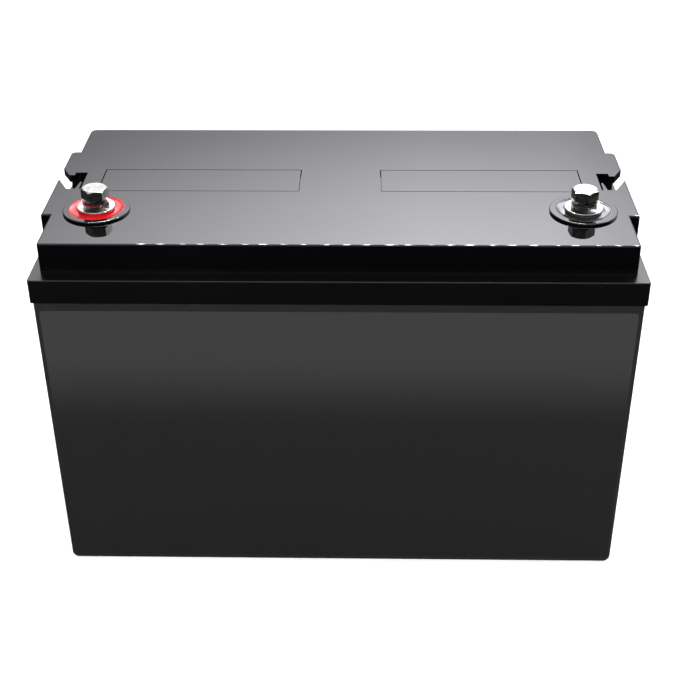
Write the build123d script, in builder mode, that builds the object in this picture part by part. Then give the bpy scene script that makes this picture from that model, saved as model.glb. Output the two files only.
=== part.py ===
from build123d import *
import math
import os

# Sealed 12 V lead-acid battery block with six cells in series, in millimetres.
# X runs along the long side, the terminals stand on the -Y side, +Z is up.
# The origin is the centre of the underside.

# Overall size
case_length = 330.0  # over the lid's flange
case_depth = 173.0  # over the lid's flange
lid_top = 212.0  # height of the lid's flat top

# Container
container_length = 326.2  # at the floor
container_depth = 168.6  # at the floor
container_top = 190.0
container_draft = 0.25  # degrees, wider at the top
container_end_radius = 4.0  # where each end turns under
container_edge_radius = 1.8  # round the outline of the front and the back
wall = 3.0
floor_thickness = 3.5
partition = 2.0
cell_count = 6
cell_corner_radius = 2.0
rest_rib_height = 2.5
rest_rib_width = 3.0
rest_rib_spacing = 50.0

# Lid
skirt_bottom = 180.0
flange_top = 194.0
flange_corner_radius = 1.5
flange_edge_radius = 0.6
skirt_edge_radius = 0.4
skirt_thickness = 1.0
raised_length = 318.2
raised_depth = 158.0
rear_corner_radius = 4.0
front_corner_radius = 1.2
top_edge_radius = 0.9
plate_thickness = 4.5  # lid's top plate and its end ledges
rib_thickness = 2.4

# Carrying hooks at each end of the lid
ledge_length = 329.0  # along X, from tip to tip
ledge_depth = 86.7  # along Y, over both hooks
ledge_corner_radius = 3.0
gusset_thickness = 3.0
pocket_inner_x = 148.8
pocket_front_y = -9.9
pocket_rear_y = 12.7
nose_x = 155.9
nose_y = 9.0
nose_outer_x = 159.0
mouth_rear_y = 20.0
mouth_front_y = 5.0
front_nose_x = 157.2
tongue_x = 149.9
tongue_width = 2.3
tongue_tip_width = 1.0
tongue_length = 9.4
tongue_thickness = 3.6

# Valve covers, the trough below each and the valves in it
cover_x = 80.9  # centre of each cover from the middle of the lid
cover_y = 2.3
cover_length = 115.0
cover_depth = 29.2
cover_thickness = 2.4
cover_gap = 0.4
cover_edge_chamfer = 0.25
trough_ledge = 2.8
trough_bottom = 198.0
trough_wall = 2.5
valve_spacing = 44.0
valve_per_cover = 3
tower_radius = 5.4
tower_height = 6.5
vent_radius = 2.0
valve_radius = 7.0
valve_bead_radius = 7.5
valve_bead_height = 1.6
valve_bottom = 198.6
valve_height = 7.5
valve_clearance = 0.08  # cap over tower, radial
valve_roof = 1.5
valve_lift = 1.0
pad_radius = 5.0
pad_clearance = 0.1  # pad above a fully lifted valve
snap_width = 12.0
snap_thickness = 1.6
snap_depth = 4.0
snap_clearance = 0.3

# Terminals
terminal_x = 134.4
terminal_y = -37.9
collar_radius = 18.6
collar_height = 1.5
collar_edge_radius = 0.5
well_radius = 15.4
boss_bottom = 199.0
boss_floor = 3.0
boss_hole_radius = 8.2
ring_seat_radius = 10.3
ring_seat_depth = 2.0
ring_wire_radius = 0.98
ring_clearance = 0.02
resin_recess = 0.5
insert_radius = 8.0
insert_head_radius = 9.5
insert_head_height = 2.5
insert_bottom = 195.0
insert_top = 213.5
pillar_radius = 7.0

# M8 terminal bolt and its washers
thread_radius = 3.92
thread_root_radius = 3.35
thread_pitch = 1.25
thread_turns = 15
thread_clearance = 0.08
bolt_length = 20.0
bolt_head_height = 6.0
bolt_head_across_flats = 13.0
head_crown_share = 0.95  # flat of the crown against the distance across flats
head_chamfer_angle = 28.0
washer_face_radius = 5.9
washer_face_height = 0.4
flat_washer_radius = 10.5
flat_washer_hole_radius = 4.2
flat_washer_thickness = 1.6
flat_washer_edge = 0.3
spring_washer_radius = 5.75  # middle of its wire
spring_washer_width = 3.0
spring_washer_thickness = 2.0
spring_washer_height = 4.7  # free height, not yet squeezed flat
spring_washer_share = 0.965  # part of a full turn
bolt_turn = {"positive": 13.0, "negative": 40.0}  # degrees, how each head happens to stand

# Cell stack
positive_plates = 6
negative_plates = 7
positive_plate_thickness = 3.2
negative_plate_thickness = 2.2
stack_clearance = 0.4  # at each end of the stack
plate_depth = 154.0
plate_bottom = 6.5
plate_top = 150.0
separator_depth = 160.0
separator_top = 154.5
lug_offset = 39.3  # of the plate lugs and straps from the middle
lug_depth = 14.0
strap_depth = 17.0
strap_bottom = 162.0
strap_thickness = 8.0
strap_edge_radius = 1.5
upright_thickness = 4.0
upright_top = 184.0
upright_corner_radius = 5.0
weld_radius = 5.0
weld_height = 176.5

# Front label in its shallow recess
label_length = 322.0
label_bottom = 3.6
label_top = 174.8
label_sink = 0.35  # of its back below the drafted front
label_thickness = 0.4
label_corner_radius = 2.0

os.makedirs("parts", exist_ok=True)

plate_underside = lid_top - plate_thickness
cell_width = (container_length - 2 * wall - (cell_count - 1) * partition) / cell_count
cell_pitch = cell_width + partition
cell_depth = container_depth - 2 * wall
cover_bottom = lid_top - cover_thickness
trough_length = cover_length - 2 * trough_ledge
trough_depth = cover_depth - 2 * trough_ledge
washer_top = insert_top + flat_washer_thickness
head_bottom = washer_top + spring_washer_height
stack_width = cell_width - 2 * stack_clearance
front_lean = math.radians(container_draft)
label_plane = Plane(
    origin=(0, -container_depth / 2, 0),
    x_dir=(1, 0, 0),
    z_dir=(0, -math.cos(front_lean), -math.sin(front_lean)),
).offset(-label_sink)
separator_count = positive_plates + negative_plates - 1
separator_thickness = (
    stack_width
    - positive_plates * positive_plate_thickness
    - negative_plates * negative_plate_thickness
) / separator_count


def save(builder, node_name):
    """Label a finished piece and write it as one STEP file."""
    builder.part.label = node_name
    export_step(builder.part, f"parts/{node_name}.step")


def cell_centre(cell):
    return (cell - (cell_count - 1) / 2) * cell_pitch


def positive_side(cell):
    """The plate lugs change sides from cell to cell, so neighbours join straight through."""
    return -1 if cell % 2 == 0 else 1


def valve_centre(index):
    """Centre of valve 0 to 5, three under each cover, counted from -X."""
    side = -1 if index < valve_per_cover else 1
    place = index % valve_per_cover - (valve_per_cover - 1) / 2
    return (side * cover_x + place * valve_spacing, cover_y)


# ---- Container: one moulding, open at the top, with a wall between neighbouring cells ----
with BuildPart() as container:
    with BuildSketch():
        Rectangle(container_length, container_depth)
    extrude(amount=container_top, taper=-container_draft)
    end_edges = container.faces().sort_by(Axis.Z)[0].edges().filter_by(Axis.Y)
    fillet(end_edges, container_end_radius)
    # front and back outlines, but not their top edges
    outline = container.faces().sort_by(Axis.Y)[0].edges().sort_by(Axis.Z)[:-1]
    outline += container.faces().sort_by(Axis.Y)[-1].edges().sort_by(Axis.Z)[:-1]
    fillet(outline, container_edge_radius)
    with BuildSketch(Plane.XY.offset(floor_thickness)):
        with GridLocations(cell_pitch, 0, cell_count, 1):
            RectangleRounded(cell_width, cell_depth, cell_corner_radius)
    extrude(amount=container_top - floor_thickness, mode=Mode.SUBTRACT)
    # low ribs that keep the plates off the floor
    with BuildSketch(Plane.XY.offset(floor_thickness)):
        with GridLocations(cell_pitch, rest_rib_spacing, cell_count, 3):
            Rectangle(cell_width, rest_rib_width)
    extrude(amount=rest_rib_height)
    # holes for the welds between cells
    for joint in range(cell_count - 1):
        joint_x = cell_centre(joint) + cell_pitch / 2
        joint_y = -positive_side(joint) * lug_offset
        with BuildSketch(Plane.YZ.offset(joint_x)):
            with Locations((joint_y, weld_height)):
                Circle(weld_radius)
        extrude(amount=partition / 2, both=True, mode=Mode.SUBTRACT)
    # shallow field for the front label
    with BuildSketch(label_plane):
        with Locations((0, (label_bottom + label_top) / 2)):
            RectangleRounded(label_length, label_top - label_bottom, label_corner_radius)
    extrude(amount=2 * label_thickness, mode=Mode.SUBTRACT)
save(container, "container")

with BuildPart() as front_label:
    with BuildSketch(label_plane):
        with Locations((0, (label_bottom + label_top) / 2)):
            RectangleRounded(label_length, label_top - label_bottom, label_corner_radius)
    extrude(amount=label_thickness)
save(front_label, "front_label")


# ---- Lid: skirt, flange, raised body with a hook slot at each end ----
def rear_outer_corner(vertex):
    return abs(vertex.X) > raised_length / 2 and vertex.Y > 0


with BuildPart() as lid:
    with BuildSketch(Plane.XY.offset(skirt_bottom)):
        RectangleRounded(case_length, case_depth, flange_corner_radius)
    extrude(amount=flange_top - skirt_bottom)
    fillet(lid.faces().sort_by(Axis.Z)[-1].edges(), flange_edge_radius)
    fillet(lid.faces().sort_by(Axis.Z)[0].edges(), skirt_edge_radius)
    with BuildSketch(Plane.XY.offset(flange_top)) as raised:
        Rectangle(raised_length, raised_depth)
        fillet(raised.vertices().group_by(Axis.Y)[-1], rear_corner_radius)
        fillet(raised.vertices().group_by(Axis.Y)[0], front_corner_radius)
    extrude(amount=lid_top - flange_top)
    with BuildSketch(Plane.XY.offset(plate_underside)) as ledges:
        Rectangle(ledge_length, ledge_depth)
        fillet(ledges.vertices().filter_by(rear_outer_corner), ledge_corner_radius)
    extrude(amount=plate_thickness)
    fillet(lid.faces().sort_by(Axis.Z)[-1].edges(), top_edge_radius)
    # end walls under the ledges
    with BuildSketch(Plane.XY.offset(flange_top)):
        with GridLocations(0, ledge_depth - gusset_thickness, 1, 2):
            Rectangle(ledge_length, gusset_thickness)
    extrude(amount=plate_underside - flange_top)
    # hollow underneath: the skirt that takes the container's rim, then the space above the cells
    with BuildSketch(Plane.XY.offset(skirt_bottom)):
        RectangleRounded(
            case_length - 2 * skirt_thickness,
            case_depth - 2 * skirt_thickness,
            container_edge_radius,
        )
    extrude(amount=container_top - skirt_bottom, mode=Mode.SUBTRACT)
    with BuildSketch(Plane.XY.offset(container_top)):
        Rectangle(raised_length - 2 * wall, raised_depth - 2 * wall)
    extrude(amount=plate_underside - container_top, mode=Mode.SUBTRACT)
    # ribs that close on the container's partitions
    with BuildSketch(Plane.XY.offset(container_top)):
        with GridLocations(cell_pitch, 0, cell_count - 1, 1):
            Rectangle(rib_thickness, raised_depth - wall)
    extrude(amount=plate_underside - container_top)
    # walls round the hook pockets
    pocket_depth = pocket_rear_y - pocket_front_y + 2 * wall
    pocket_middle = (pocket_rear_y + pocket_front_y) / 2
    pocket_reach = raised_length / 2 - pocket_inner_x + wall
    with BuildSketch(Plane.XY.offset(container_top)):
        for side in (-1, 1):
            with Locations((side * (raised_length / 2 - pocket_reach / 2), pocket_middle)):
                Rectangle(pocket_reach, pocket_depth)
    extrude(amount=plate_underside - container_top)
    # walls round the valve troughs
    with BuildSketch(Plane.XY.offset(trough_bottom - trough_wall)):
        for side in (-1, 1):
            with Locations((side * cover_x, cover_y)):
                Rectangle(trough_length + 2 * trough_wall, trough_depth + 2 * trough_wall)
    extrude(amount=plate_underside - trough_bottom + trough_wall)
    # terminal bosses
    with BuildSketch(Plane.XY.offset(boss_bottom)):
        with Locations((-terminal_x, terminal_y), (terminal_x, terminal_y)):
            Circle(collar_radius)
    extrude(amount=lid_top + collar_height - boss_bottom)
    collar_edges = lid.edges().filter_by(GeomType.CIRCLE).group_by(Axis.Z)[-1]
    fillet(collar_edges, collar_edge_radius)
    with BuildSketch(Plane.XY.offset(boss_bottom + boss_floor)):
        with Locations((-terminal_x, terminal_y), (terminal_x, terminal_y)):
            Circle(well_radius)
    extrude(amount=lid_top + collar_height, mode=Mode.SUBTRACT)
    with BuildSketch(Plane.XY.offset(boss_bottom + boss_floor - ring_seat_depth)):
        with Locations((-terminal_x, terminal_y), (terminal_x, terminal_y)):
            Circle(ring_seat_radius)
    extrude(amount=ring_seat_depth, mode=Mode.SUBTRACT)
    with BuildSketch(Plane.XY.offset(boss_bottom)):
        with Locations((-terminal_x, terminal_y), (terminal_x, terminal_y)):
            Circle(boss_hole_radius)
    extrude(amount=boss_floor, mode=Mode.SUBTRACT)
    # recess for each cover and the trough below it
    with BuildSketch(Plane.XY.offset(cover_bottom)):
        for side in (-1, 1):
            with Locations((side * cover_x, cover_y)):
                Rectangle(cover_length + 2 * cover_gap, cover_depth + 2 * cover_gap)
    extrude(amount=cover_thickness, mode=Mode.SUBTRACT)
    with BuildSketch(Plane.XY.offset(trough_bottom)):
        for side in (-1, 1):
            with Locations((side * cover_x, cover_y)):
                RectangleRounded(trough_length, trough_depth, cell_corner_radius)
    extrude(amount=cover_bottom - trough_bottom, mode=Mode.SUBTRACT)
    # valve seats
    with BuildSketch(Plane.XY.offset(trough_bottom)):
        with Locations(*[valve_centre(index) for index in range(cell_count)]):
            Circle(tower_radius)
    extrude(amount=tower_height)
    with BuildSketch(Plane.XY.offset(trough_bottom - trough_wall)):
        with Locations(*[valve_centre(index) for index in range(cell_count)]):
            Circle(vent_radius)
    extrude(amount=trough_wall + tower_height, mode=Mode.SUBTRACT)
    # hook slots: the pocket at flange height, then the slot through the top plate
    for side in (-1, 1):
        with BuildSketch(Plane.XY.offset(flange_top)):
            with BuildLine():
                Polyline(
                    (side * pocket_inner_x, pocket_front_y),
                    (side * pocket_inner_x, pocket_rear_y),
                    (side * case_length / 2, pocket_rear_y),
                    (side * case_length / 2, pocket_front_y),
                    close=True,
                )
            make_face()
        extrude(amount=plate_underside - flange_top, mode=Mode.SUBTRACT)
        with BuildSketch(Plane.XY.offset(plate_underside)):
            with BuildLine():
                Polyline(
                    (side * case_length / 2, mouth_rear_y),
                    (side * nose_outer_x, nose_y),
                    (side * nose_x, nose_y),
                    (side * nose_x, pocket_rear_y),
                    (side * pocket_inner_x, pocket_rear_y),
                    (side * pocket_inner_x, pocket_front_y),
                    (side * front_nose_x, pocket_front_y),
                    (side * case_length / 2, mouth_front_y),
                    close=True,
                )
            make_face()
        extrude(amount=plate_thickness, mode=Mode.SUBTRACT)
        # springy tongue that keeps a handle in the slot
        with BuildSketch(Plane.XY.offset(lid_top - tongue_thickness)):
            with BuildLine():
                Polyline(
                    (side * tongue_x, pocket_front_y),
                    (side * tongue_x, pocket_front_y + tongue_length),
                    (side * (tongue_x + tongue_tip_width), pocket_front_y + tongue_length),
                    (side * (tongue_x + tongue_width), pocket_front_y),
                    close=True,
                )
            make_face()
        extrude(amount=tongue_thickness)
save(lid, "lid")

# ---- Valve covers: a plate with hold-down pads and two snap legs ----
for cover_name, side in (("left", -1), ("right", 1)):
    first_valve = 0 if side < 0 else valve_per_cover
    pad_bottom = valve_bottom + valve_height + valve_lift + pad_clearance
    with BuildPart() as cover:
        with BuildSketch(Plane.XY.offset(cover_bottom)):
            with Locations((side * cover_x, cover_y)):
                Rectangle(cover_length, cover_depth)
        extrude(amount=cover_thickness)
        chamfer(cover.faces().sort_by(Axis.Z)[-1].edges(), cover_edge_chamfer)
        with BuildSketch(Plane.XY.offset(pad_bottom)):
            for index in range(first_valve, first_valve + valve_per_cover):
                with Locations(valve_centre(index)):
                    Circle(pad_radius)
        extrude(amount=cover_bottom - pad_bottom)
        leg_offset = trough_length / 2 - snap_clearance - snap_thickness / 2
        with BuildSketch(Plane.XY.offset(cover_bottom - snap_depth)):
            for end in (-1, 1):
                with Locations((side * cover_x + end * leg_offset, cover_y)):
                    Rectangle(snap_thickness, snap_width)
        extrude(amount=snap_depth)
    save(cover, f"valve_cover_{cover_name}")

# ---- Safety valves: rubber caps over the vent seats ----
for index in range(cell_count):
    valve_x, valve_y = valve_centre(index)
    with BuildPart() as valve:
        with BuildSketch(Plane.XY.offset(valve_bottom)):
            with Locations((valve_x, valve_y)):
                Circle(valve_radius)
        extrude(amount=valve_height)
        fillet(valve.faces().sort_by(Axis.Z)[-1].edges(), valve_roof / 2)
        with BuildSketch(Plane.XY.offset(valve_bottom)):
            with Locations((valve_x, valve_y)):
                Circle(valve_bead_radius)
        extrude(amount=valve_bead_height)
        with BuildSketch(Plane.XY.offset(valve_bottom)):
            with Locations((valve_x, valve_y)):
                Circle(tower_radius + valve_clearance)
        extrude(amount=valve_height - valve_roof, mode=Mode.SUBTRACT)
    save(valve, f"safety_valve_{index + 1}")

# ---- Cells: plates, separators and the straps cast on to the plate lugs ----
for cell in range(cell_count):
    centre_x = cell_centre(cell)
    lugs_at = {
        "positive": positive_side(cell) * lug_offset,
        "negative": -positive_side(cell) * lug_offset,
    }
    plate_thicknesses = {
        "positive": positive_plate_thickness,
        "negative": negative_plate_thickness,
    }
    # plates stand along X as negative, separator, positive, separator and so on
    places = {"positive": [], "negative": []}
    separator_places = []
    along = centre_x - stack_width / 2
    for layer in range(positive_plates + negative_plates):
        sign = "negative" if layer % 2 == 0 else "positive"
        places[sign].append(along + plate_thicknesses[sign] / 2)
        along += plate_thicknesses[sign]
        if layer < separator_count:
            separator_places.append(along + separator_thickness / 2)
            along += separator_thickness

    for sign in ("positive", "negative"):
        thickness = plate_thicknesses[sign]
        with BuildPart() as plates:
            for place in places[sign]:
                with BuildSketch(Plane.YZ.offset(place - thickness / 2)):
                    with Locations((0, (plate_bottom + plate_top) / 2)):
                        Rectangle(plate_depth, plate_top - plate_bottom)
                    with Locations((lugs_at[sign], (plate_top + strap_bottom) / 2)):
                        Rectangle(lug_depth, strap_bottom - plate_top)
                extrude(amount=thickness)
        save(plates, f"cell_{cell + 1}_{sign}_plates")

        # strap along the lugs; an upright at the partition where the next cell is welded on
        toward = -1 if sign == "positive" else 1
        at_end = (cell == 0 and sign == "positive") or (
            cell == cell_count - 1 and sign == "negative"
        )
        partition_face = centre_x + toward * cell_width / 2
        strap_far_end = centre_x - toward * (stack_width / 2 - negative_plate_thickness)
        strap_near_end = centre_x + toward * stack_width / 2 if at_end else partition_face
        strap_length = abs(strap_near_end - strap_far_end)
        strap_middle = (strap_near_end + strap_far_end) / 2
        with BuildPart() as strap:
            with BuildSketch(Plane.XY.offset(strap_bottom)):
                with Locations((strap_middle, lugs_at[sign])):
                    Rectangle(strap_length, strap_depth)
            extrude(amount=strap_thickness)
            long_edges = strap.edges().filter_by(Axis.X).group_by(Axis.Z)[-1]
            fillet(long_edges, strap_edge_radius)
            if not at_end:
                with BuildSketch(Plane.YZ.offset(partition_face)):
                    with Locations((lugs_at[sign], (strap_bottom + upright_top) / 2)):
                        RectangleRounded(
                            strap_depth, upright_top - strap_bottom, upright_corner_radius
                        )
                extrude(amount=-toward * upright_thickness)
        save(strap, f"cell_{cell + 1}_{sign}_strap")

    with BuildPart() as separators:
        for place in separator_places:
            with BuildSketch(Plane.YZ.offset(place - separator_thickness / 2)):
                with Locations((0, (floor_thickness + rest_rib_height + separator_top) / 2)):
                    Rectangle(
                        separator_depth, separator_top - floor_thickness - rest_rib_height
                    )
            extrude(amount=separator_thickness)
    save(separators, f"cell_{cell + 1}_separators")

with BuildPart() as cell_welds:
    for joint in range(cell_count - 1):
        joint_x = cell_centre(joint) + cell_pitch / 2
        with BuildSketch(Plane.YZ.offset(joint_x - partition / 2)):
            with Locations((-positive_side(joint) * lug_offset, weld_height)):
                Circle(weld_radius)
        extrude(amount=partition)
save(cell_welds, "cell_welds")

# ---- Terminals: pillar, threaded insert, ring seal, resin, washers and bolt ----
head_corner_radius = bolt_head_across_flats / 2 / math.cos(math.radians(30))
crown_radius = bolt_head_across_flats / 2 * head_crown_share
chamfer_slope = math.tan(math.radians(head_chamfer_angle))
chamfer_drop = (head_corner_radius - crown_radius) * chamfer_slope
for sign, terminal_centre_x in (("positive", -terminal_x), ("negative", terminal_x)):
    terminal_axis = Plane(
        origin=(terminal_centre_x, terminal_y, 0), x_dir=(1, 0, 0), z_dir=(0, -1, 0)
    )
    spot = (terminal_centre_x, terminal_y)

    with BuildPart() as pillar:
        with BuildSketch(Plane.XY.offset(strap_bottom + strap_thickness)):
            with Locations(spot):
                Circle(pillar_radius)
        extrude(amount=insert_bottom - strap_bottom - strap_thickness)
    save(pillar, f"{sign}_pillar")

    with BuildPart() as insert:
        with BuildSketch(Plane.XY.offset(insert_bottom)):
            with Locations(spot):
                Circle(insert_radius)
        extrude(amount=insert_top - insert_bottom)
        with BuildSketch(Plane.XY.offset(insert_top - insert_head_height)):
            with Locations(spot):
                Circle(insert_head_radius)
        extrude(amount=insert_head_height)
        with BuildSketch(Plane.XY.offset(insert_top)):
            with Locations(spot):
                Circle(thread_radius + thread_clearance)
        extrude(amount=-(insert_top - insert_bottom - wall), mode=Mode.SUBTRACT)
    save(insert, f"{sign}_terminal_insert")

    with BuildPart() as ring_seal:
        with BuildSketch(terminal_axis):
            ring_middle = insert_radius + ring_clearance + ring_wire_radius
            with Locations((ring_middle, boss_bottom + boss_floor - ring_seat_depth / 2)):
                Circle(ring_wire_radius)
        revolve(axis=Axis((terminal_centre_x, terminal_y, 0), (0, 0, 1)))
    save(ring_seal, f"{sign}_ring_seal")

    resin_bottom = boss_bottom + boss_floor
    resin_top = lid_top + collar_height - resin_recess
    with BuildPart() as resin:
        with BuildSketch(Plane.XY.offset(resin_bottom)):
            with Locations(spot):
                Circle(well_radius)
                Circle(insert_radius, mode=Mode.SUBTRACT)
        extrude(amount=resin_top - resin_bottom)
        with BuildSketch(Plane.XY.offset(insert_top - insert_head_height)):
            with Locations(spot):
                Circle(insert_head_radius)
        extrude(amount=insert_head_height, mode=Mode.SUBTRACT)
    save(resin, f"{sign}_terminal_resin")

    with BuildPart() as flat_washer:
        with BuildSketch(Plane.XY.offset(insert_top)):
            with Locations(spot):
                Circle(flat_washer_radius)
        extrude(amount=flat_washer_thickness)
        fillet(flat_washer.edges().filter_by(GeomType.CIRCLE), flat_washer_edge)
        with BuildSketch(Plane.XY.offset(insert_top)):
            with Locations(spot):
                Circle(flat_washer_hole_radius)
        extrude(amount=flat_washer_thickness, mode=Mode.SUBTRACT)
    save(flat_washer, f"{sign}_flat_washer")

    # split ring left at its free height, one turn of a flat helix
    rise = spring_washer_height - spring_washer_thickness
    with BuildPart() as spring_washer:
        with BuildLine() as coil:
            Helix(
                pitch=rise / spring_washer_share,
                height=rise,
                radius=spring_washer_radius,
                center=(
                    terminal_centre_x,
                    terminal_y,
                    washer_top + spring_washer_thickness / 2,
                ),
            )
        with BuildSketch(Plane(origin=coil.line @ 0, x_dir=(1, 0, 0), z_dir=coil.line % 0)):
            Rectangle(spring_washer_width, spring_washer_thickness)
        sweep(is_frenet=True)
    save(spring_washer, f"{sign}_spring_washer")

    with BuildPart() as bolt:
        with BuildSketch(Plane.XY.offset(head_bottom + washer_face_height)):
            with Locations(spot):
                RegularPolygon(
                    bolt_head_across_flats / 2,
                    6,
                    major_radius=False,
                    rotation=bolt_turn[sign],
                )
        extrude(amount=bolt_head_height - washer_face_height)
        # crown chamfer: the hexagon kept inside a flat cone
        head_top = head_bottom + bolt_head_height
        with BuildSketch(terminal_axis):
            with BuildLine():
                Polyline(
                    (0, head_bottom),
                    (bolt_head_across_flats, head_bottom),
                    (bolt_head_across_flats, head_top - chamfer_drop),
                    (head_corner_radius, head_top - chamfer_drop),
                    (crown_radius, head_top),
                    (0, head_top),
                    close=True,
                )
            make_face()
        revolve(axis=Axis((terminal_centre_x, terminal_y, 0), (0, 0, 1)), mode=Mode.INTERSECT)
        with BuildSketch(Plane.XY.offset(head_bottom)):
            with Locations(spot):
                Circle(washer_face_radius)
        extrude(amount=washer_face_height)
        # shank with thread crests and roots
        bolt_tip = head_bottom - bolt_length
        crest_points = [(0, bolt_tip), (thread_root_radius, bolt_tip)]
        for turn in range(thread_turns):
            crest_z = bolt_tip + (turn + 0.5) * thread_pitch
            crest_points.append((thread_radius, crest_z))
            crest_points.append((thread_root_radius, crest_z + thread_pitch / 2))
        crest_points.append((thread_root_radius, head_bottom))
        crest_points.append((0, head_bottom))
        with BuildSketch(terminal_axis):
            with BuildLine():
                Polyline(*crest_points, close=True)
            make_face()
        revolve(axis=Axis((terminal_centre_x, terminal_y, 0), (0, 0, 1)))
    save(bolt, f"{sign}_bolt")
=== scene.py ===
import math
import random

import bmesh
import bpy
from mathutils import Matrix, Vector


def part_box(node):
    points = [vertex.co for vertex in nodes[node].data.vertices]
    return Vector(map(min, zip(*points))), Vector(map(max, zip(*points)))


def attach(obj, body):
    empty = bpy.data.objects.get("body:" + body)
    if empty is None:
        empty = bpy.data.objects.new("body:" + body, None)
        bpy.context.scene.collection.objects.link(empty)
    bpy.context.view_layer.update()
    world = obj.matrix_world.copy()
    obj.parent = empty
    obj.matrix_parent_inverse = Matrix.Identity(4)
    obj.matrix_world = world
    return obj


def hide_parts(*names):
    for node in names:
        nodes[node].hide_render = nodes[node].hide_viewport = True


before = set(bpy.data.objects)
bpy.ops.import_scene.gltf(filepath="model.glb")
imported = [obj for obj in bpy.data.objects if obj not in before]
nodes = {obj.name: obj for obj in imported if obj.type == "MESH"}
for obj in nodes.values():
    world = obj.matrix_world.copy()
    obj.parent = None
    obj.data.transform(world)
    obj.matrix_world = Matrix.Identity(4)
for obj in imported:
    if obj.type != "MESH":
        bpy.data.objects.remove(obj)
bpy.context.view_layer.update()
print("frame loaded:", len(nodes), "nodes")

boltLow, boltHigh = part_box("negative_flat_washer")
terminalAxis = ((boltLow[0] + boltHigh[0]) / 2, -(boltLow[1] + boltHigh[1]) / 2)  # folded to +x, +y


# ---- camera ----
cameraSet = {
    "place": (0.0165, -0.6749, 0.5200),
    "lens": 67.5,
    "sensor": 36.0,
    "pitchDown": 31.58,
    "turnLeft": 1.485,
    "roll": 0.478,
    "clip": (0.01, 50.0),
}


def makeCamera(settings):
    data = bpy.data.cameras.new("studioCamera")
    data.lens = settings["lens"]
    data.sensor_width = settings["sensor"]
    data.clip_start, data.clip_end = settings["clip"]
    camera = bpy.data.objects.new("studioCamera", data)
    bpy.context.scene.collection.objects.link(camera)
    heading = Matrix.Rotation(math.radians(settings["turnLeft"]), 4, "Z")
    tilt = Matrix.Rotation(math.radians(90.0 - settings["pitchDown"]), 4, "X")
    roll = Matrix.Rotation(-math.radians(settings["roll"]), 4, "Z")
    camera.matrix_world = Matrix.Translation(settings["place"]) @ heading @ tilt @ roll
    bpy.context.scene.camera = camera


makeCamera(cameraSet)
print("camera placed")


# ---- node helpers ----
class NodeBook:
    # one material's or world's nodes, with short ways to add and join them
    def __init__(self, tree):
        self.tree = tree

    def add(self, kind, **values):
        node = self.tree.nodes.new(kind)
        for key, value in values.items():
            setattr(node, key, value)
        return node

    def join(self, source, target):
        self.tree.links.new(source, target)

    def objectPoint(self, scale=(1.0, 1.0, 1.0)):
        coordinates = self.add("ShaderNodeTexCoord")
        mapping = self.add("ShaderNodeMapping")
        mapping.inputs["Scale"].default_value = scale
        self.join(coordinates.outputs["Object"], mapping.inputs["Vector"])
        return mapping.outputs["Vector"]

    def parts(self, vector):
        split = self.add("ShaderNodeSeparateXYZ")
        self.join(vector, split.inputs["Vector"])
        return split.outputs

    def blend(self, factor, under, over):
        # a colour laid over another as far as the factor says
        mix = self.add("ShaderNodeMix", data_type="RGBA")
        self.join(factor, mix.inputs["Factor"])
        self.join(under, mix.inputs["A"])
        mix.inputs["B"].default_value = (*over, 1.0)
        return mix.outputs["Result"]

    def noise(self, point, scale, detail=4.0, roughness=0.55):
        texture = self.add("ShaderNodeTexNoise")
        texture.inputs["Scale"].default_value = scale
        texture.inputs["Detail"].default_value = detail
        texture.inputs["Roughness"].default_value = roughness
        self.join(point, texture.inputs["Vector"])
        return texture.outputs["Fac"]

    def spread(self, value, low, high, fromLow=0.0, fromHigh=1.0, smooth=False):
        mapped = self.add("ShaderNodeMapRange", clamp=True)
        mapped.interpolation_type = "SMOOTHSTEP" if smooth else "LINEAR"
        mapped.inputs["From Min"].default_value = fromLow
        mapped.inputs["From Max"].default_value = fromHigh
        mapped.inputs["To Min"].default_value = low
        mapped.inputs["To Max"].default_value = high
        self.join(value, mapped.inputs["Value"])
        return mapped.outputs["Result"]

    def maths(self, operation, first, second=0.0):
        node = self.add("ShaderNodeMath", operation=operation)
        for socket, value in zip(node.inputs, (first, second)):
            if isinstance(value, (int, float)):
                socket.default_value = value
            else:
                self.join(value, socket)
        return node.outputs["Value"]

    def ramp(self, value, stops):
        node = self.add("ShaderNodeValToRGB")
        elements = node.color_ramp.elements
        while len(elements) < len(stops):
            elements.new(0.5)
        for element, (place, colour) in zip(elements, stops):
            element.position = place
            element.color = (*colour, 1.0)
        self.join(value, node.inputs["Fac"])
        return node.outputs["Color"]

    def bump(self, height, distance, under=None):
        # relief of the given depth in metres, laid over another one where that is named
        node = self.add("ShaderNodeBump")
        node.inputs["Strength"].default_value = 1.0
        node.inputs["Distance"].default_value = distance
        self.join(height, node.inputs["Height"])
        if under is not None:
            self.join(under, node.inputs["Normal"])
        return node.outputs["Normal"]

    def across(self, point):
        # how far a point lies from the axis of the nearer terminal
        folded = self.add("ShaderNodeVectorMath", operation="ABSOLUTE")
        self.join(point, folded.inputs[0])
        shifted = self.add("ShaderNodeVectorMath", operation="SUBTRACT")
        self.join(folded.outputs["Vector"], shifted.inputs[0])
        shifted.inputs[1].default_value = (terminalAxis[0], terminalAxis[1], 0.0)
        flat = self.add("ShaderNodeVectorMath", operation="MULTIPLY")
        self.join(shifted.outputs["Vector"], flat.inputs[0])
        flat.inputs[1].default_value = (1.0, 1.0, 0.0)
        length = self.add("ShaderNodeVectorMath", operation="LENGTH")
        self.join(flat.outputs["Vector"], length.inputs[0])
        return length.outputs["Value"]


def newMaterial(name):
    material = bpy.data.materials.new(name)
    material.use_nodes = True
    book = NodeBook(material.node_tree)
    shader = material.node_tree.nodes["Principled BSDF"]
    return material, book, shader


def dress(nodeName, material):
    mesh = nodes[nodeName].data
    mesh.materials.clear()
    mesh.materials.append(material)


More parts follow.
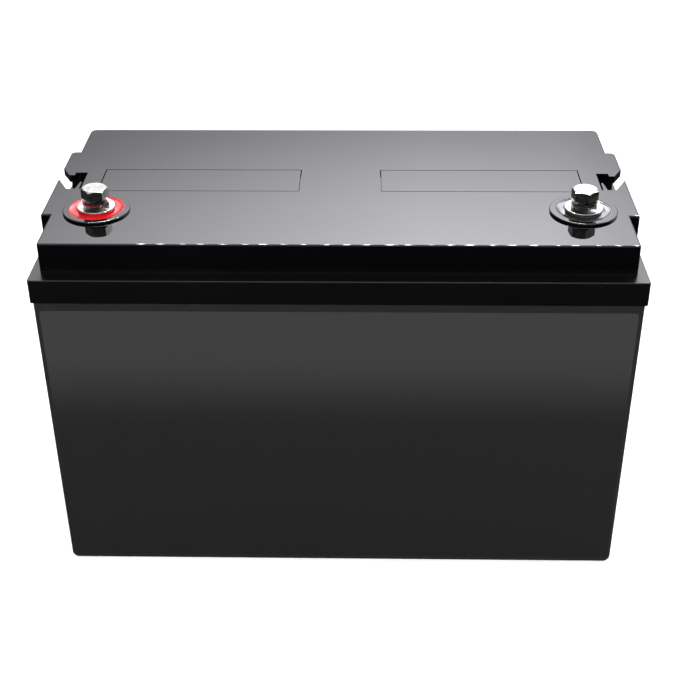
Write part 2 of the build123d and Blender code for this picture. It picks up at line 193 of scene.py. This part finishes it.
# ---- moulded black plastic: lid, covers and container ----
lidPlastic = {
    "deep": (0.0006, 0.0006, 0.0008),
    "pale": (0.0013, 0.0013, 0.0016),
    "smooth": 0.020,
    "worn": 0.050,
    "wave": 0.00004,
    "grain": 0.0000004,
    "dullBelow": 0.1955,  # the flange comes duller from its mould than the top
    "dull": 0.30,
    "scuff": (0.030, 0.030, 0.031),
}
containerPlastic = {
    "deep": (0.0100, 0.0100, 0.0108),
    "pale": (0.0150, 0.0150, 0.0160),
    "smooth": 0.24,
    "worn": 0.30,
    "wave": 0.00005,
    "grain": 0.000004,
    "dullBelow": 0.004,
    "dull": 0.15,
    "scuff": (0.040, 0.040, 0.040),
}
# noise that all the mouldings share
mouldNoise = {
    "cloud": 9.0,
    "wiping": (40.0, 900.0, 40.0),
    "haze": (0.12, 0.45),
    "dust": 900.0,
    "nicks": 620.0,
    "nickShare": (0.72, 0.78),  # only the noise's highest peaks
    "waves": 14.0,
}
dullFade = 0.0015  # height over which a dull part turns glossy
cornerScuff = {"inset": (0.0100, 0.0115), "reach": (0.0015, 0.0065), "grain": 900.0, "patches": (0.52, 0.58)}


def knockedCorner(book, point, settings):
    # a few pale marks where the lid's rear left corner has been knocked
    lidLow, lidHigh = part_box("lid")
    corner = (lidLow[0] + settings["inset"][0], lidHigh[1] - settings["inset"][1], lidHigh[2])
    near = book.add("ShaderNodeVectorMath", operation="DISTANCE")
    book.join(point, near.inputs[0])
    near.inputs[1].default_value = corner
    inner, outer = settings["reach"]
    fading = book.spread(near.outputs["Value"], 1.0, 0.0, inner, outer)
    marks = book.spread(book.noise(point, settings["grain"], 3.0, 0.7), 0.0, 1.0, *settings["patches"])
    return book.maths("MULTIPLY", fading, marks)


def mouldedPlastic(name, settings):
    material, book, shader = newMaterial(name)
    point = book.objectPoint()
    place = book.parts(point)
    cloud = book.noise(point, mouldNoise["cloud"], 3.0)
    wipe = book.noise(book.objectPoint(mouldNoise["wiping"]), 1.0, 5.0)  # faint wiping marks
    dust = book.noise(point, mouldNoise["dust"], 2.0)
    nicks = book.spread(book.noise(point, mouldNoise["nicks"], 3.0, 0.7), 0.0, 1.0, *mouldNoise["nickShare"])
    marks = book.maths("MAXIMUM", nicks, knockedCorner(book, point, cornerScuff))
    tone = book.ramp(cloud, [(0.3, settings["deep"]), (0.75, settings["pale"])])
    book.join(book.blend(marks, tone, settings["scuff"]), shader.inputs["Base Color"])
    haze = book.maths("MULTIPLY", cloud, wipe)
    polish = book.spread(haze, settings["smooth"], settings["worn"], *mouldNoise["haze"])
    low = settings["dullBelow"]
    dulled = book.spread(place["Z"], settings["dull"], 0.0, low, low + dullFade, True)
    book.join(book.maths("ADD", polish, dulled), shader.inputs["Roughness"])
    wave = book.bump(book.noise(point, mouldNoise["waves"], 1.0), settings["wave"])
    book.join(book.bump(dust, settings["grain"], wave), shader.inputs["Normal"])
    shader.inputs["IOR"].default_value = 1.50
    return material


lidBlack = mouldedPlastic("lidBlack", lidPlastic)
for nodeName in ("lid", "valve_cover_left", "valve_cover_right"):
    dress(nodeName, lidBlack)
dress("container", mouldedPlastic("containerBlack", containerPlastic))
print("mouldings dressed")


# ---- front label: blank satin film, its colour lighter at the top and darker towards the bottom ----
labelFilm = {
    "top": (0.0248, 0.0248, 0.0248),
    "bottom": (0.0094, 0.0094, 0.0094),
    "fadeStart": 0.150,
    "fadeEnd": 0.097,
    "roughness": (0.42, 0.50),
    "patches": 60.0,
    "inkGrain": 2600.0,
    "inkSpread": 0.02,
    "texture": 1800.0,
    "textureDepth": 0.000002,
}


def fadedFilm(settings):
    material, book, shader = newMaterial("labelFilm")
    point = book.objectPoint()
    place = book.parts(point)
    # base colour runs from lighter at the top to darker towards the bottom, by height
    fade = book.spread(place["Z"], 0.0, 1.0, settings["fadeEnd"], settings["fadeStart"], True)
    uneven = settings["inkSpread"]
    grain = book.spread(book.noise(point, settings["inkGrain"], 2.0), -uneven, uneven)
    fadeStops = [(0.0, settings["bottom"]), (1.0, settings["top"])]
    book.join(book.ramp(book.maths("ADD", fade, grain), fadeStops), shader.inputs["Base Color"])
    low, high = settings["roughness"]
    book.join(book.spread(book.noise(point, settings["patches"]), low, high), shader.inputs["Roughness"])
    texture = book.noise(point, settings["texture"], 2.0)
    book.join(book.bump(texture, settings["textureDepth"]), shader.inputs["Normal"])
    shader.inputs["IOR"].default_value = 1.46
    return material


dress("front_label", fadedFilm(labelFilm))
print("label dressed")


# ---- terminal hardware ----
metalNoise = {"patches": 260.0, "sheen": 700.0, "scratches": (400.0, 4000.0, 400.0)}
steelSet = {
    "bright": (0.54, 0.525, 0.50),
    "dull": (0.38, 0.37, 0.35),
    "roughness": (0.10, 0.24),
    "ringsPerMetre": 5200.0,  # turning marks round the axis
    "ringDepth": 0.0000012,
    "scratch": 0.0000025,
}
tinSet = {
    "bright": (0.72, 0.70, 0.64),
    "dull": (0.52, 0.50, 0.45),
    "roughness": (0.22, 0.42),
    "ringsPerMetre": 3600.0,
    "ringDepth": 0.000003,
    "scratch": 0.000004,
}


def turnedMetal(name, settings):
    material, book, shader = newMaterial(name)
    point = book.objectPoint()
    patch = book.noise(point, metalNoise["patches"], 5.0)
    book.join(book.ramp(patch, [(0.35, settings["dull"]), (0.62, settings["bright"])]),
              shader.inputs["Base Color"])
    low, high = settings["roughness"]
    sheen = book.noise(point, metalNoise["sheen"], 4.0)
    book.join(book.spread(sheen, low, high, 0.3, 0.7), shader.inputs["Roughness"])
    turns = book.maths("MULTIPLY", book.across(point), settings["ringsPerMetre"] * math.tau)
    rings = book.bump(book.maths("SINE", turns), settings["ringDepth"])
    scratch = book.noise(book.objectPoint(metalNoise["scratches"]), 1.0, 4.0)
    book.join(book.bump(scratch, settings["scratch"], rings), shader.inputs["Normal"])
    shader.inputs["Metallic"].default_value = 1.0
    return material


steel = turnedMetal("platedSteel", steelSet)
tinnedBrass = turnedMetal("tinnedBrass", tinSet)
for sign in ("positive", "negative"):
    for piece in ("flat_washer", "spring_washer", "bolt"):
        dress(f"{sign}_{piece}", steel)
    dress(f"{sign}_terminal_insert", tinnedBrass)

resinPour = {
    "positive": {"deep": (0.58, 0.004, 0.008), "pale": (0.82, 0.010, 0.016), "coat": 0.1},
    "negative": {"deep": (0.010, 0.010, 0.012), "pale": (0.022, 0.022, 0.025), "coat": 0.8},
    "smooth": 0.04,
    "cloudy": 0.12,
    "sag": 0.00025,  # how far the pour sinks between its rims
    "outerClimb": 0.0005,
    "innerClimb": 0.0002,
    "climbWidth": 0.0016,
    "steps": 10,
    "segments": 96,
    "weld": 0.000001,  # points closer than this are joined
    "footHeight": 0.001,  # the flat underside below this stays flat shaded
    "swirl": 120.0,
    "bubbles": 420.0,
    "bubbleDepth": 0.00002,
    "ripples": 160.0,
    "rippleDepth": 0.00003,
}


def castResin(sign, settings):
    material, book, shader = newMaterial(f"{sign}Resin")
    point = book.objectPoint()
    swirl = book.noise(point, settings["swirl"], 3.0)
    bubble = book.add("ShaderNodeTexVoronoi", feature="F1")
    book.join(point, bubble.inputs["Vector"])
    bubble.inputs["Scale"].default_value = settings["bubbles"]
    pit = book.spread(bubble.outputs["Distance"], 0.0, 1.0, 0.05, 0.14)  # tiny bubbles set in the surface
    colours = settings[sign]
    book.join(book.ramp(swirl, [(0.3, colours["deep"]), (0.7, colours["pale"])]), shader.inputs["Base Color"])
    book.join(book.spread(book.noise(point, 400.0), settings["smooth"], settings["cloudy"]),
              shader.inputs["Roughness"])
    ripple = book.bump(book.noise(point, settings["ripples"], 2.0), settings["rippleDepth"])
    book.join(book.bump(pit, settings["bubbleDepth"], ripple), shader.inputs["Normal"])
    shader.inputs["IOR"].default_value = 1.45
    shader.inputs["Coat Weight"].default_value = colours["coat"]
    shader.inputs["Coat Roughness"].default_value = 0.03
    return material


def pourResin(sign, settings):
    # a ring of resin that fills the well, climbing a little at the collar and at the insert
    wellLow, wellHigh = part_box(f"{sign}_terminal_resin")
    insertLow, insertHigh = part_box(f"{sign}_terminal_insert")
    outer = (wellHigh[0] - wellLow[0]) / 2
    inner = (insertHigh[0] - insertLow[0]) / 2
    centre = ((wellLow[0] + wellHigh[0]) / 2, (wellLow[1] + wellHigh[1]) / 2)
    profile = [(inner, wellLow[2]), (outer, wellLow[2])]
    for step in range(settings["steps"] + 1):
        share = step / settings["steps"]
        radius = outer + (inner - outer) * share
        fromOuter = math.exp(-(outer - radius) / settings["climbWidth"] * 2)
        fromInner = math.exp(-(radius - inner) / settings["climbWidth"] * 2)
        belly = settings["sag"] * math.sin(math.pi * share)
        climb = settings["outerClimb"] * fromOuter + settings["innerClimb"] * fromInner
        profile.append((radius, wellHigh[2] + climb - belly))
    form = bmesh.new()
    points = [form.verts.new((centre[0] + radius, centre[1], z)) for radius, z in profile]
    for first, second in zip(points, points[1:] + points[:1]):
        form.edges.new((first, second))
    bmesh.ops.spin(form, geom=form.verts[:] + form.edges[:], cent=(*centre, 0.0), axis=(0.0, 0.0, 1.0),
                   angle=math.tau, steps=settings["segments"], use_merge=True)
    bmesh.ops.remove_doubles(form, verts=form.verts[:], dist=settings["weld"])
    bmesh.ops.recalc_face_normals(form, faces=form.faces[:])
    for face in form.faces:
        above = face.calc_center_median().z > wellLow[2] + settings["footHeight"]
        face.smooth = above and abs(face.normal.z) > 0.3
    mesh = bpy.data.meshes.new(f"{sign}ResinPour")
    form.to_mesh(mesh)
    form.free()
    pour = bpy.data.objects.new(f"{sign}ResinPour", mesh)
    bpy.context.scene.collection.objects.link(pour)
    mesh.materials.append(castResin(sign, settings))
    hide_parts(f"{sign}_terminal_resin")
    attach(pour, "case")


for sign in ("positive", "negative"):
    pourResin(sign, resinPour)
print("terminals dressed")


# ---- inside: lead, pasted plates, glass mat and rubber ----
leadSet = {
    "dark": (0.10, 0.105, 0.115),
    "light": (0.30, 0.31, 0.33),
    "roughness": (0.38, 0.62),
    "crystals": 340.0,
    "crystalDepth": 0.00002,
    "skin": 210.0,
    "skinDepth": 0.00008,
}


def castLead(settings):
    material, book, shader = newMaterial("castLead")
    point = book.objectPoint()
    crystal = book.add("ShaderNodeTexVoronoi", feature="F1")
    crystal.inputs["Scale"].default_value = settings["crystals"]
    book.join(point, crystal.inputs["Vector"])
    bloom = book.maths("MULTIPLY", book.noise(point, 90.0, 5.0), crystal.outputs["Distance"])
    book.join(book.ramp(bloom, [(0.08, settings["dark"]), (0.32, settings["light"])]),
              shader.inputs["Base Color"])
    low, high = settings["roughness"]
    book.join(book.spread(book.noise(point, 240.0), low, high, 0.3, 0.7), shader.inputs["Roughness"])
    skin = book.bump(book.noise(point, settings["skin"], 6.0, 0.7), settings["skinDepth"])
    relief = book.bump(crystal.outputs["Distance"], settings["crystalDepth"], skin)
    book.join(relief, shader.inputs["Normal"])
    shader.inputs["Metallic"].default_value = 0.85
    return material


plateSet = {
    "positive": {"paste": (0.085, 0.036, 0.020), "crust": (0.140, 0.070, 0.042)},
    "negative": {"paste": (0.150, 0.155, 0.165), "crust": (0.250, 0.255, 0.265)},
    "gridPitch": (0.0085, 0.0062),  # between the grid's upright and level wires
    "wire": (0.30, 0.31, 0.33),
    "wireHeight": 0.0002,
    "crumbs": 380.0,
    "crumbHeight": 0.0001,
}


def pastedPlate(sign, settings):
    material, book, shader = newMaterial(f"{sign}Plate")
    point = book.objectPoint()
    place = book.parts(point)
    wires = []
    for axis, pitch in zip("YZ", settings["gridPitch"]):
        wave = book.maths("SINE", book.maths("MULTIPLY", place[axis], math.pi / pitch))
        wires.append(book.spread(book.maths("ABSOLUTE", wave), 1.0, 0.0, 0.10, 0.28))
    grid = book.maths("MAXIMUM", *wires)
    crumb = book.noise(point, settings["crumbs"], 6.0, 0.7)
    colours = settings[sign]
    paste = book.ramp(crumb, [(0.35, colours["paste"]), (0.65, colours["crust"])])
    showing = book.maths("MULTIPLY", grid, book.spread(crumb, 0.1, 0.6, 0.45, 0.6))
    book.join(book.blend(showing, paste, settings["wire"]), shader.inputs["Base Color"])
    book.join(book.spread(crumb, 0.72, 0.95), shader.inputs["Roughness"])
    relief = book.bump(grid, settings["wireHeight"])
    book.join(book.bump(crumb, settings["crumbHeight"], relief), shader.inputs["Normal"])
    return material


matSet = {
    "shade": (0.62, 0.62, 0.58),
    "fibre": (0.90, 0.90, 0.87),
    "fibreLength": 0.004,
    "fibreWidth": 0.0002,
    "feltHeight": 0.0001,
}


def glassMat(settings):
    material, book, shader = newMaterial("glassMat")
    fine, long = 1 / settings["fibreWidth"], 1 / settings["fibreLength"]
    alongY = book.noise(book.objectPoint((fine, long, fine)), 1.0, 3.0)
    alongZ = book.noise(book.objectPoint((fine, fine, long)), 1.0, 3.0)
    felt = book.maths("MAXIMUM", alongY, alongZ)
    book.join(book.ramp(felt, [(0.42, settings["shade"]), (0.68, settings["fibre"])]),
              shader.inputs["Base Color"])
    book.join(book.spread(felt, 0.95, 0.80), shader.inputs["Roughness"])
    book.join(book.bump(felt, settings["feltHeight"]), shader.inputs["Normal"])
    shader.inputs["Sheen Weight"].default_value = 0.25
    return material


rubberSet = {
    "black": (0.010, 0.010, 0.010),
    "bloom": (0.045, 0.045, 0.046),
    "roughness": (0.48, 0.70),
    "powder": 320.0,
    "grain": 1500.0,
    "grainDepth": 0.000015,
}


def valveRubber(settings):
    material, book, shader = newMaterial("valveRubber")
    point = book.objectPoint()
    powder = book.noise(point, settings["powder"], 5.0, 0.65)
    book.join(book.ramp(powder, [(0.42, settings["black"]), (0.72, settings["bloom"])]),
              shader.inputs["Base Color"])
    low, high = settings["roughness"]
    book.join(book.spread(powder, low, high, 0.3, 0.7), shader.inputs["Roughness"])
    grain = book.noise(point, settings["grain"], 2.0)
    book.join(book.bump(grain, settings["grainDepth"]), shader.inputs["Normal"])
    return material


lead = castLead(leadSet)
plates = {sign: pastedPlate(sign, plateSet) for sign in ("positive", "negative")}
separatorMat = glassMat(matSet)
rubber = valveRubber(rubberSet)
dress("cell_welds", lead)
for number in range(1, 7):
    dress(f"cell_{number}_separators", separatorMat)
    dress(f"safety_valve_{number}", rubber)
    for sign in ("positive", "negative"):
        dress(f"cell_{number}_{sign}_plates", plates[sign])
        dress(f"cell_{number}_{sign}_strap", lead)
for sign in ("positive", "negative"):
    dress(f"{sign}_pillar", lead)
    dress(f"{sign}_ring_seal", rubber)
print("cells, valves and seals dressed")


# ---- floor and light ----
floorSheet = {
    "reach": 12.0,
    "colour": (0.86, 0.86, 0.86, 1.0),
    "roughness": 0.8,
    "glow": 0.32,  # a sheet lit from below
}


def makeFloor(settings):
    mesh = bpy.data.meshes.new("floor")
    form = bmesh.new()
    bmesh.ops.create_grid(form, x_segments=1, y_segments=1, size=settings["reach"])
    form.to_mesh(mesh)
    form.free()
    floor = bpy.data.objects.new("floor", mesh)
    bpy.context.scene.collection.objects.link(floor)
    material, book, shader = newMaterial("paleFloor")
    shader.inputs["Base Color"].default_value = settings["colour"]
    shader.inputs["Roughness"].default_value = settings["roughness"]
    shader.inputs["Emission Color"].default_value = (1.0, 1.0, 1.0, 1.0)
    shader.inputs["Emission Strength"].default_value = settings["glow"]
    mesh.materials.append(material)
    floor.visible_glossy = False  # gloss sees the dark below the horizon instead


makeFloor(floorSheet)

worldSet = {
    # sine of the elevation and brightness, behind the object and in front of it
    "behind": [(-1.0, 0.04), (-0.30, 0.05), (0.0, 1.1), (0.32, 0.9), (0.38, 1.9), (0.46, 4.8),
               (0.56, 6.0), (0.72, 2.6), (1.0, 1.4)],
    "front": [(-1.0, 0.006), (-0.15, 0.012), (0.0, 1.1), (0.24, 0.8), (0.36, 0.12), (0.62, 0.12),
              (0.74, 1.2), (1.0, 1.8)],
    "peak": 6.0,
    "leftFade": (0.08, 1.08, -0.49, 0.045),  # brightness at each end, then where it starts and stops
    "rightFade": (1.0, 0.78, 0.13, 0.22),
    "horizonFade": (1.0, 0.0, 0.04, 0.22),
    "turnToBack": (0.0, 1.0, -0.1, 0.5),
    "tint": (0.985, 0.975, 1.03, 1.0),
}


def makeWorld(settings):
    world = bpy.data.worlds.new("softStudio")
    bpy.context.scene.world = world
    world.use_nodes = True
    book = NodeBook(world.node_tree)
    background = world.node_tree.nodes["Background"]
    direction = book.add("ShaderNodeTexCoord").outputs["Generated"]
    toward = book.parts(direction)
    height = book.spread(toward["Z"], 0.0, 1.0, -1.0, 1.0)

    def band(stops):
        greys = [((sine + 1) / 2, (value / settings["peak"],) * 3) for sine, value in stops]
        return book.ramp(height, greys)

    leftward = book.spread(toward["X"], *settings["leftFade"])
    rightward = book.spread(toward["X"], *settings["rightFade"], True)
    horizon = book.spread(toward["Z"], *settings["horizonFade"])  # pale all round
    sideways = book.maths("MAXIMUM", book.maths("MULTIPLY", leftward, rightward), horizon)
    behind = book.maths("MULTIPLY", band(settings["behind"]), sideways)
    mix = book.add("ShaderNodeMix", data_type="FLOAT")
    book.join(book.spread(toward["Y"], *settings["turnToBack"], True), mix.inputs["Factor"])
    book.join(band(settings["front"]), mix.inputs["A"])
    book.join(behind, mix.inputs["B"])
    book.join(book.maths("MULTIPLY", mix.outputs["Result"], settings["peak"]), background.inputs["Strength"])
    background.inputs["Color"].default_value = settings["tint"]


makeWorld(worldSet)

lampRow = {
    "count": 25,
    "spacing": 0.037,
    "middle": 0.052,
    "distance": 1.6,  # from the lid's front edge
    "elevation": 60.0,
    "width": 0.011,
    "length": 0.42,
    "power": 3.0,
    "seed": 11,
}


def hangLamps(settings):
    # a row of narrow lamps above and behind, which sparkle along the lid's front edge
    lidLow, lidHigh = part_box("lid")
    lean = math.radians(settings["elevation"])
    luck = random.Random(settings["seed"])
    for number in range(settings["count"]):
        lamp = bpy.data.lights.new(f"lamp{number}", "AREA")
        lamp.shape = "RECTANGLE"
        lamp.size = settings["width"] * luck.uniform(0.45, 1.25)
        lamp.size_y = settings["length"]
        lamp.energy = settings["power"] * lamp.size / settings["width"] * luck.uniform(0.5, 1.2)
        holder = bpy.data.objects.new(f"lamp{number}", lamp)
        along = settings["middle"] + (number - (settings["count"] - 1) / 2) * settings["spacing"]
        along += luck.uniform(-0.1, 0.1) * settings["spacing"]
        holder.location = (along, lidLow[1] + settings["distance"] * math.cos(lean),
                           lidHigh[2] + settings["distance"] * math.sin(lean))
        holder.rotation_euler = (lean - math.pi / 2, 0.0, 0.0)
        holder.visible_diffuse = False  # they only sparkle
        holder.visible_camera = False
        bpy.context.scene.collection.objects.link(holder)


hangLamps(lampRow)

frontPanel = {
    "width": 2.6,
    "height": 1.5,
    "place": (0.0, -2.3, 1.15),
    "aim": 0.10,  # height that it faces
    "power": 60.0,
}


def standPanel(settings):
    # a broad soft panel in front, which lights without showing in the gloss
    panel = bpy.data.lights.new("frontPanel", "AREA")
    panel.shape = "RECTANGLE"
    panel.size = settings["width"]
    panel.size_y = settings["height"]
    panel.energy = settings["power"]
    holder = bpy.data.objects.new("frontPanel", panel)
    holder.location = settings["place"]
    drop = math.atan2(settings["place"][2] - settings["aim"], -settings["place"][1])
    holder.rotation_euler = (math.pi / 2 - drop, 0.0, 0.0)
    holder.visible_glossy = False
    holder.visible_camera = False
    bpy.context.scene.collection.objects.link(holder)


standPanel(frontPanel)
bpy.context.scene.view_settings.view_transform = "Standard"
print("studio lit")
